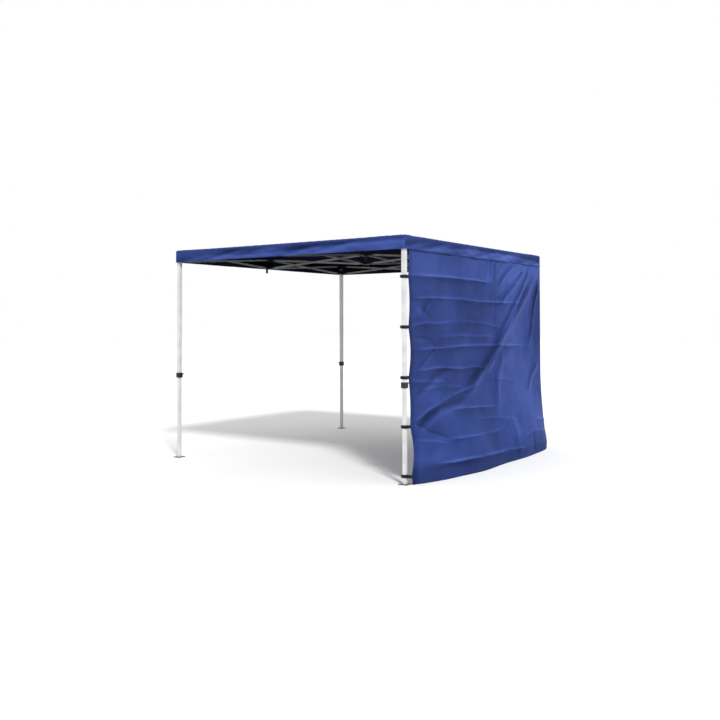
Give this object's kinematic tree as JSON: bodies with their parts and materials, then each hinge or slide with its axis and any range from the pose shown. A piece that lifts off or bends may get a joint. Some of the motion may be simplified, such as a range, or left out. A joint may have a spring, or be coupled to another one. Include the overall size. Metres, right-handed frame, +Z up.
{
  "type": "pop up canopy",
  "caption": "Square folding canopy on telescopic legs, with a scissor truss frame, a low fabric roof with a short valance, and a fabric side wall strapped along one side.",
  "frame": {"origin": "on the floor at the middle of the canopy's footprint, which takes in the foot of the side wall: 0.121 m towards the wall from the middle of the four legs", "axes": "+Z up, -Y towards the open front, +X towards the side with the wall"},
  "size_m": [3.2613, 3.02, 2.4],
  "materials": {
    "cloth": "matte",
    "white_tube": "satin",
    "grey_bar": "satin",
    "grey_pin": "satin",
    "black_plastic": "matte"
  },
  "bodies": {
    "roof_hub": {"hub_upper": "black_plastic", "cover": "cloth"},
    "roof_bar_high_front": {"roof_bar_high_front": "grey_bar"},
    "roof_bar_low_front": {"roof_bar_low_front": "grey_bar"},
    "mid_bracket_upper_front": {"mid_bracket_upper_front": "black_plastic"},
    "mid_bracket_lower_front": {"mid_bracket_lower_front": "black_plastic"},
    "side_bar_high_front_at_front_left": {"side_bar_high_front_at_front_left": "grey_bar"},
    "side_bar_low_front_at_front_left": {"side_bar_low_front_at_front_left": "grey_bar"},
    "leg_front_left": {"outer_leg_front_left": "white_tube", "lock_collar_front_left": "black_plastic"},
    "slider_front_left": {"slider_front_left": "black_plastic"},
    "side_bar_high_front_at_front_right": {"side_bar_high_front_at_front_right": "grey_bar"},
    "side_bar_low_front_at_front_right": {"side_bar_low_front_at_front_right": "grey_bar"},
    "roof_bar_high_right": {"roof_bar_high_right": "grey_bar"},
    "roof_bar_low_right": {"roof_bar_low_right": "grey_bar"},
    "mid_bracket_upper_right": {"mid_bracket_upper_right": "black_plastic", "side_wall": "cloth"},
    "mid_bracket_lower_right": {"mid_bracket_lower_right": "black_plastic"},
    "side_bar_high_right_at_front_right": {"side_bar_high_right_at_front_right": "grey_bar"},
    "side_bar_low_right_at_front_right": {"side_bar_low_right_at_front_right": "grey_bar"},
    "leg_front_right": {"outer_leg_front_right": "white_tube", "lock_collar_front_right": "black_plastic"},
    "slider_front_right": {"slider_front_right": "black_plastic"},
    "side_bar_high_right_at_back_right": {"side_bar_high_right_at_back_right": "grey_bar"},
    "side_bar_low_right_at_back_right": {"side_bar_low_right_at_back_right": "grey_bar"},
    "roof_bar_high_back": {"roof_bar_high_back": "grey_bar"},
    "roof_bar_low_back": {"roof_bar_low_back": "grey_bar"},
    "mid_bracket_upper_back": {"mid_bracket_upper_back": "black_plastic"},
    "mid_bracket_lower_back": {"mid_bracket_lower_back": "black_plastic"},
    "side_bar_high_back_at_back_right": {"side_bar_high_back_at_back_right": "grey_bar"},
    "side_bar_low_back_at_back_right": {"side_bar_low_back_at_back_right": "grey_bar"},
    "leg_back_right": {"outer_leg_back_right": "white_tube", "lock_collar_back_right": "black_plastic"},
    "slider_back_right": {"slider_back_right": "black_plastic"},
    "side_bar_high_back_at_back_left": {"side_bar_high_back_at_back_left": "grey_bar"},
    "side_bar_low_back_at_back_left": {"side_bar_low_back_at_back_left": "grey_bar"},
    "roof_bar_high_left": {"roof_bar_high_left": "grey_bar"},
    "roof_bar_low_left": {"roof_bar_low_left": "grey_bar"},
    "mid_bracket_upper_left": {"mid_bracket_upper_left": "black_plastic"},
    "mid_bracket_lower_left": {"mid_bracket_lower_left": "black_plastic"},
    "side_bar_high_left_at_back_left": {"side_bar_high_left_at_back_left": "grey_bar"},
    "side_bar_low_left_at_back_left": {"side_bar_low_left_at_back_left": "grey_bar"},
    "leg_back_left": {"outer_leg_back_left": "white_tube", "lock_collar_back_left": "black_plastic"},
    "slider_back_left": {"slider_back_left": "black_plastic"},
    "side_bar_high_left_at_front_left": {"side_bar_high_left_at_front_left": "grey_bar"},
    "side_bar_low_left_at_front_left": {"side_bar_low_left_at_front_left": "grey_bar"},
    "lower_hub": {"hub_lower": "black_plastic"},
    "inner_leg_front_left": {"inner_leg_front_left": "white_tube"},
    "lock_lever_front_left": {"lock_lever_front_left": "black_plastic"},
    "slider_pin_front_left": {"slider_pin_front_left": "grey_pin"},
    "inner_leg_front_right": {"inner_leg_front_right": "white_tube"},
    "lock_lever_front_right": {"lock_lever_front_right": "black_plastic"},
    "slider_pin_front_right": {"slider_pin_front_right": "grey_pin"},
    "inner_leg_back_right": {"inner_leg_back_right": "white_tube"},
    "lock_lever_back_right": {"lock_lever_back_right": "black_plastic"},
    "slider_pin_back_right": {"slider_pin_back_right": "grey_pin"},
    "inner_leg_back_left": {"inner_leg_back_left": "white_tube"},
    "lock_lever_back_left": {"lock_lever_back_left": "black_plastic"},
    "slider_pin_back_left": {"slider_pin_back_left": "grey_pin"}
  },
  "joints": [
    {"name": "fold", "type": "hinge", "parent": "roof_hub", "child": "roof_bar_high_front", "pos_m": [-0.1155, -0.09, 2.234], "axis": [1, 0, 0], "range_deg": [0, 74], "deforming": ["cover", "side_wall"]},
    {"name": "mid_bracket_lower_front_on_roof_bar", "type": "hinge", "parent": "roof_bar_high_front", "child": "mid_bracket_lower_front", "pos_m": [-0.1155, -1.405, 2.139], "axis": [1, 0, 0], "range_deg": [-74, 0]},
    {"name": "roof_bar_low_front_crossing", "type": "hinge", "parent": "roof_bar_high_front", "child": "roof_bar_low_front", "pos_m": [-0.121, -0.7475, 2.1865], "axis": [1, 0, 0], "range_deg": [-148, 0]},
    {"name": "mid_bracket_upper_front_on_roof_bar", "type": "hinge", "parent": "roof_bar_low_front", "child": "mid_bracket_upper_front", "pos_m": [-0.1265, -1.405, 2.234], "axis": [1, 0, 0], "range_deg": [0, 74]},
    {"name": "hub_lower_on_roof_bar", "type": "hinge", "parent": "roof_bar_low_front", "child": "lower_hub", "pos_m": [-0.1265, -0.09, 2.139], "axis": [1, 0, 0], "range_deg": [0, 74]},
    {"name": "side_bar_high_front_at_front_left_at_middle", "type": "hinge", "parent": "mid_bracket_lower_front", "child": "side_bar_high_front_at_front_left", "pos_m": [-0.191, -1.4705, 2.139], "axis": [0, -1, 0], "range_deg": [-74, 0]},
    {"name": "side_bar_low_front_at_front_left_at_middle", "type": "hinge", "parent": "mid_bracket_upper_front", "child": "side_bar_low_front_at_front_left", "pos_m": [-0.191, -1.4595, 2.234], "axis": [0, -1, 0], "range_deg": [0, 74]},
    {"name": "leg_front_left_on_side_bar", "type": "hinge", "parent": "side_bar_high_front_at_front_left", "child": "leg_front_left", "pos_m": [-1.506, -1.4705, 2.234], "axis": [0, -1, 0], "range_deg": [0, 74]},
    {"name": "slider_front_left_on_side_bar", "type": "hinge", "parent": "side_bar_low_front_at_front_left", "child": "slider_front_left", "pos_m": [-1.506, -1.4595, 2.139], "axis": [0, -1, 0], "range_deg": [-74, 0]},
    {"name": "side_bar_high_front_at_front_right_at_middle", "type": "hinge", "parent": "mid_bracket_lower_front", "child": "side_bar_high_front_at_front_right", "pos_m": [-0.051, -1.4705, 2.139], "axis": [0, 1, 0], "range_deg": [-74, 0]},
    {"name": "side_bar_low_front_at_front_right_at_middle", "type": "hinge", "parent": "mid_bracket_upper_front", "child": "side_bar_low_front_at_front_right", "pos_m": [-0.051, -1.4595, 2.234], "axis": [0, 1, 0], "range_deg": [0, 74]},
    {"name": "roof_bar_high_right_at_hub", "type": "hinge", "parent": "roof_hub", "child": "roof_bar_high_right", "pos_m": [-0.031, 0.0055, 2.234], "axis": [0, 1, 0], "range_deg": [0, 74]},
    {"name": "mid_bracket_lower_right_on_roof_bar", "type": "hinge", "parent": "roof_bar_high_right", "child": "mid_bracket_lower_right", "pos_m": [1.284, 0.0055, 2.139], "axis": [0, 1, 0], "range_deg": [-74, 0]},
    {"name": "roof_bar_low_right_crossing", "type": "hinge", "parent": "roof_bar_high_right", "child": "roof_bar_low_right", "pos_m": [0.6265, 0, 2.1865], "axis": [0, 1, 0], "range_deg": [-148, 0]},
    {"name": "mid_bracket_upper_right_on_roof_bar", "type": "hinge", "parent": "roof_bar_low_right", "child": "mid_bracket_upper_right", "pos_m": [1.284, -0.0055, 2.234], "axis": [0, 1, 0], "range_deg": [0, 74]},
    {"name": "side_bar_high_right_at_front_right_at_middle", "type": "hinge", "parent": "mid_bracket_lower_right", "child": "side_bar_high_right_at_front_right", "pos_m": [1.3495, -0.07, 2.139], "axis": [1, 0, 0], "range_deg": [-74, 0]},
    {"name": "side_bar_low_right_at_front_right_at_middle", "type": "hinge", "parent": "mid_bracket_upper_right", "child": "side_bar_low_right_at_front_right", "pos_m": [1.3385, -0.07, 2.234], "axis": [1, 0, 0], "range_deg": [0, 74]},
    {"name": "leg_front_right_on_side_bar", "type": "hinge", "parent": "side_bar_high_right_at_front_right", "child": "leg_front_right", "pos_m": [1.3495, -1.385, 2.234], "axis": [1, 0, 0], "range_deg": [0, 74]},
    {"name": "slider_front_right_on_side_bar", "type": "hinge", "parent": "side_bar_low_right_at_front_right", "child": "slider_front_right", "pos_m": [1.3385, -1.385, 2.139], "axis": [1, 0, 0], "range_deg": [-74, 0]},
    {"name": "side_bar_high_right_at_back_right_at_middle", "type": "hinge", "parent": "mid_bracket_lower_right", "child": "side_bar_high_right_at_back_right", "pos_m": [1.3495, 0.07, 2.139], "axis": [-1, 0, 0], "range_deg": [-74, 0]},
    {"name": "side_bar_low_right_at_back_right_at_middle", "type": "hinge", "parent": "mid_bracket_upper_right", "child": "side_bar_low_right_at_back_right", "pos_m": [1.3385, 0.07, 2.234], "axis": [-1, 0, 0], "range_deg": [0, 74]},
    {"name": "roof_bar_high_back_at_hub", "type": "hinge", "parent": "roof_hub", "child": "roof_bar_high_back", "pos_m": [-0.1265, 0.09, 2.234], "axis": [-1, 0, 0], "range_deg": [0, 74]},
    {"name": "mid_bracket_lower_back_on_roof_bar", "type": "hinge", "parent": "roof_bar_high_back", "child": "mid_bracket_lower_back", "pos_m": [-0.1265, 1.405, 2.139], "axis": [-1, 0, 0], "range_deg": [-74, 0]},
    {"name": "roof_bar_low_back_crossing", "type": "hinge", "parent": "roof_bar_high_back", "child": "roof_bar_low_back", "pos_m": [-0.121, 0.7475, 2.1865], "axis": [-1, 0, 0], "range_deg": [-148, 0]},
    {"name": "mid_bracket_upper_back_on_roof_bar", "type": "hinge", "parent": "roof_bar_low_back", "child": "mid_bracket_upper_back", "pos_m": [-0.1155, 1.405, 2.234], "axis": [-1, 0, 0], "range_deg": [0, 74]},
    {"name": "side_bar_high_back_at_back_right_at_middle", "type": "hinge", "parent": "mid_bracket_lower_back", "child": "side_bar_high_back_at_back_right", "pos_m": [-0.051, 1.4705, 2.139], "axis": [0, 1, 0], "range_deg": [-74, 0]},
    {"name": "side_bar_low_back_at_back_right_at_middle", "type": "hinge", "parent": "mid_bracket_upper_back", "child": "side_bar_low_back_at_back_right", "pos_m": [-0.051, 1.4595, 2.234], "axis": [0, 1, 0], "range_deg": [0, 74]},
    {"name": "leg_back_right_on_side_bar", "type": "hinge", "parent": "side_bar_high_back_at_back_right", "child": "leg_back_right", "pos_m": [1.264, 1.4705, 2.234], "axis": [0, 1, 0], "range_deg": [0, 74]},
    {"name": "slider_back_right_on_side_bar", "type": "hinge", "parent": "side_bar_low_back_at_back_right", "child": "slider_back_right", "pos_m": [1.264, 1.4595, 2.139], "axis": [0, 1, 0], "range_deg": [-74, 0]},
    {"name": "side_bar_high_back_at_back_left_at_middle", "type": "hinge", "parent": "mid_bracket_lower_back", "child": "side_bar_high_back_at_back_left", "pos_m": [-0.191, 1.4705, 2.139], "axis": [0, -1, 0], "range_deg": [-74, 0]},
    {"name": "side_bar_low_back_at_back_left_at_middle", "type": "hinge", "parent": "mid_bracket_upper_back", "child": "side_bar_low_back_at_back_left", "pos_m": [-0.191, 1.4595, 2.234], "axis": [0, -1, 0], "range_deg": [0, 74]},
    {"name": "roof_bar_high_left_at_hub", "type": "hinge", "parent": "roof_hub", "child": "roof_bar_high_left", "pos_m": [-0.211, -0.0055, 2.234], "axis": [0, -1, 0], "range_deg": [0, 74]},
    {"name": "mid_bracket_lower_left_on_roof_bar", "type": "hinge", "parent": "roof_bar_high_left", "child": "mid_bracket_lower_left", "pos_m": [-1.526, -0.0055, 2.139], "axis": [0, -1, 0], "range_deg": [-74, 0]},
    {"name": "roof_bar_low_left_crossing", "type": "hinge", "parent": "roof_bar_high_left", "child": "roof_bar_low_left", "pos_m": [-0.8685, 0, 2.1865], "axis": [0, -1, 0], "range_deg": [-148, 0]},
    {"name": "mid_bracket_upper_left_on_roof_bar", "type": "hinge", "parent": "roof_bar_low_left", "child": "mid_bracket_upper_left", "pos_m": [-1.526, 0.0055, 2.234], "axis": [0, -1, 0], "range_deg": [0, 74]},
    {"name": "side_bar_high_left_at_back_left_at_middle", "type": "hinge", "parent": "mid_bracket_lower_left", "child": "side_bar_high_left_at_back_left", "pos_m": [-1.5915, 0.07, 2.139], "axis": [-1, 0, 0], "range_deg": [-74, 0]},
    {"name": "side_bar_low_left_at_back_left_at_middle", "type": "hinge", "parent": "mid_bracket_upper_left", "child": "side_bar_low_left_at_back_left", "pos_m": [-1.5805, 0.07, 2.234], "axis": [-1, 0, 0], "range_deg": [0, 74]},
    {"name": "leg_back_left_on_side_bar", "type": "hinge", "parent": "side_bar_high_left_at_back_left", "child": "leg_back_left", "pos_m": [-1.5915, 1.385, 2.234], "axis": [-1, 0, 0], "range_deg": [0, 74]},
    {"name": "slider_back_left_on_side_bar", "type": "hinge", "parent": "side_bar_low_left_at_back_left", "child": "slider_back_left", "pos_m": [-1.5805, 1.385, 2.139], "axis": [-1, 0, 0], "range_deg": [-74, 0]},
    {"name": "side_bar_high_left_at_front_left_at_middle", "type": "hinge", "parent": "mid_bracket_lower_left", "child": "side_bar_high_left_at_front_left", "pos_m": [-1.5915, -0.07, 2.139], "axis": [1, 0, 0], "range_deg": [-74, 0]},
    {"name": "side_bar_low_left_at_front_left_at_middle", "type": "hinge", "parent": "mid_bracket_upper_left", "child": "side_bar_low_left_at_front_left", "pos_m": [-1.5805, -0.07, 2.234], "axis": [1, 0, 0], "range_deg": [0, 74]},
    {"name": "inner_leg_front_left_slide", "type": "slide", "parent": "leg_front_left", "child": "inner_leg_front_left", "axis": [0, 0, 1], "range_m": [0, 0.75]},
    {"name": "lock_lever_front_left_press", "type": "hinge", "parent": "leg_front_left", "child": "lock_lever_front_left", "pos_m": [-1.5555, -1.465, 0.911], "axis": [0, 1, 0], "range_deg": [0, 20], "stiffness_Nm_per_rad": 0.5, "springref_deg": -11.46},
    {"name": "slider_pin_front_left_pull", "type": "slide", "parent": "slider_front_left", "child": "slider_pin_front_left", "axis": [0, 1, 0], "range_m": [0, 0.006], "stiffness_N_per_m": 600, "springref_m": -0.005},
    {"name": "inner_leg_front_right_slide", "type": "slide", "parent": "leg_front_right", "child": "inner_leg_front_right", "axis": [0, 0, 1], "range_m": [0, 0.75]},
    {"name": "lock_lever_front_right_press", "type": "hinge", "parent": "leg_front_right", "child": "lock_lever_front_right", "pos_m": [1.344, -1.4345, 0.911], "axis": [-1, 0, 0], "range_deg": [0, 20], "stiffness_Nm_per_rad": 0.5, "springref_deg": -11.46},
    {"name": "slider_pin_front_right_pull", "type": "slide", "parent": "slider_front_right", "child": "slider_pin_front_right", "axis": [-1, 0, 0], "range_m": [0, 0.006], "stiffness_N_per_m": 600, "springref_m": -0.005},
    {"name": "inner_leg_back_right_slide", "type": "slide", "parent": "leg_back_right", "child": "inner_leg_back_right", "axis": [0, 0, 1], "range_m": [0, 0.75]},
    {"name": "lock_lever_back_right_press", "type": "hinge", "parent": "leg_back_right", "child": "lock_lever_back_right", "pos_m": [1.3135, 1.465, 0.911], "axis": [0, -1, 0], "range_deg": [0, 20], "stiffness_Nm_per_rad": 0.5, "springref_deg": -11.46},
    {"name": "slider_pin_back_right_pull", "type": "slide", "parent": "slider_back_right", "child": "slider_pin_back_right", "axis": [0, -1, 0], "range_m": [0, 0.006], "stiffness_N_per_m": 600, "springref_m": -0.005},
    {"name": "inner_leg_back_left_slide", "type": "slide", "parent": "leg_back_left", "child": "inner_leg_back_left", "axis": [0, 0, 1], "range_m": [0, 0.75]},
    {"name": "lock_lever_back_left_press", "type": "hinge", "parent": "leg_back_left", "child": "lock_lever_back_left", "pos_m": [-1.586, 1.4345, 0.911], "axis": [1, 0, 0], "range_deg": [0, 20], "stiffness_Nm_per_rad": 0.5, "springref_deg": -11.46},
    {"name": "slider_pin_back_left_pull", "type": "slide", "parent": "slider_back_left", "child": "slider_pin_back_left", "axis": [1, 0, 0], "range_m": [0, 0.006], "stiffness_N_per_m": 600, "springref_m": -0.005}
  ],
  "couplings": [
    {"joint": "mid_bracket_lower_front_on_roof_bar", "follows": "fold", "ratio": -1},
    {"joint": "roof_bar_low_front_crossing", "follows": "fold", "ratio": -2},
    {"joint": "mid_bracket_upper_front_on_roof_bar", "follows": "fold", "ratio": 1},
    {"joint": "hub_lower_on_roof_bar", "follows": "fold", "ratio": 1},
    {"joint": "side_bar_high_front_at_front_left_at_middle", "follows": "fold", "ratio": -1},
    {"joint": "side_bar_low_front_at_front_left_at_middle", "follows": "fold", "ratio": 1},
    {"joint": "leg_front_left_on_side_bar", "follows": "fold", "ratio": 1},
    {"joint": "slider_front_left_on_side_bar", "follows": "fold", "ratio": -1},
    {"joint": "side_bar_high_front_at_front_right_at_middle", "follows": "fold", "ratio": -1},
    {"joint": "side_bar_low_front_at_front_right_at_middle", "follows": "fold", "ratio": 1},
    {"joint": "roof_bar_high_right_at_hub", "follows": "fold", "ratio": 1},
    {"joint": "mid_bracket_lower_right_on_roof_bar", "follows": "fold", "ratio": -1},
    {"joint": "roof_bar_low_right_crossing", "follows": "fold", "ratio": -2},
    {"joint": "mid_bracket_upper_right_on_roof_bar", "follows": "fold", "ratio": 1},
    {"joint": "side_bar_high_right_at_front_right_at_middle", "follows": "fold", "ratio": -1},
    {"joint": "side_bar_low_right_at_front_right_at_middle", "follows": "fold", "ratio": 1},
    {"joint": "leg_front_right_on_side_bar", "follows": "fold", "ratio": 1},
    {"joint": "slider_front_right_on_side_bar", "follows": "fold", "ratio": -1},
    {"joint": "side_bar_high_right_at_back_right_at_middle", "follows": "fold", "ratio": -1},
    {"joint": "side_bar_low_right_at_back_right_at_middle", "follows": "fold", "ratio": 1},
    {"joint": "roof_bar_high_back_at_hub", "follows": "fold", "ratio": 1},
    {"joint": "mid_bracket_lower_back_on_roof_bar", "follows": "fold", "ratio": -1},
    {"joint": "roof_bar_low_back_crossing", "follows": "fold", "ratio": -2},
    {"joint": "mid_bracket_upper_back_on_roof_bar", "follows": "fold", "ratio": 1},
    {"joint": "side_bar_high_back_at_back_right_at_middle", "follows": "fold", "ratio": -1},
    {"joint": "side_bar_low_back_at_back_right_at_middle", "follows": "fold", "ratio": 1},
    {"joint": "leg_back_right_on_side_bar", "follows": "fold", "ratio": 1},
    {"joint": "slider_back_right_on_side_bar", "follows": "fold", "ratio": -1},
    {"joint": "side_bar_high_back_at_back_left_at_middle", "follows": "fold", "ratio": -1},
    {"joint": "side_bar_low_back_at_back_left_at_middle", "follows": "fold", "ratio": 1},
    {"joint": "roof_bar_high_left_at_hub", "follows": "fold", "ratio": 1},
    {"joint": "mid_bracket_lower_left_on_roof_bar", "follows": "fold", "ratio": -1},
    {"joint": "roof_bar_low_left_crossing", "follows": "fold", "ratio": -2},
    {"joint": "mid_bracket_upper_left_on_roof_bar", "follows": "fold", "ratio": 1},
    {"joint": "side_bar_high_left_at_back_left_at_middle", "follows": "fold", "ratio": -1},
    {"joint": "side_bar_low_left_at_back_left_at_middle", "follows": "fold", "ratio": 1},
    {"joint": "leg_back_left_on_side_bar", "follows": "fold", "ratio": 1},
    {"joint": "slider_back_left_on_side_bar", "follows": "fold", "ratio": -1},
    {"joint": "side_bar_high_left_at_front_left_at_middle", "follows": "fold", "ratio": -1},
    {"joint": "side_bar_low_left_at_front_left_at_middle", "follows": "fold", "ratio": 1}
  ]
}
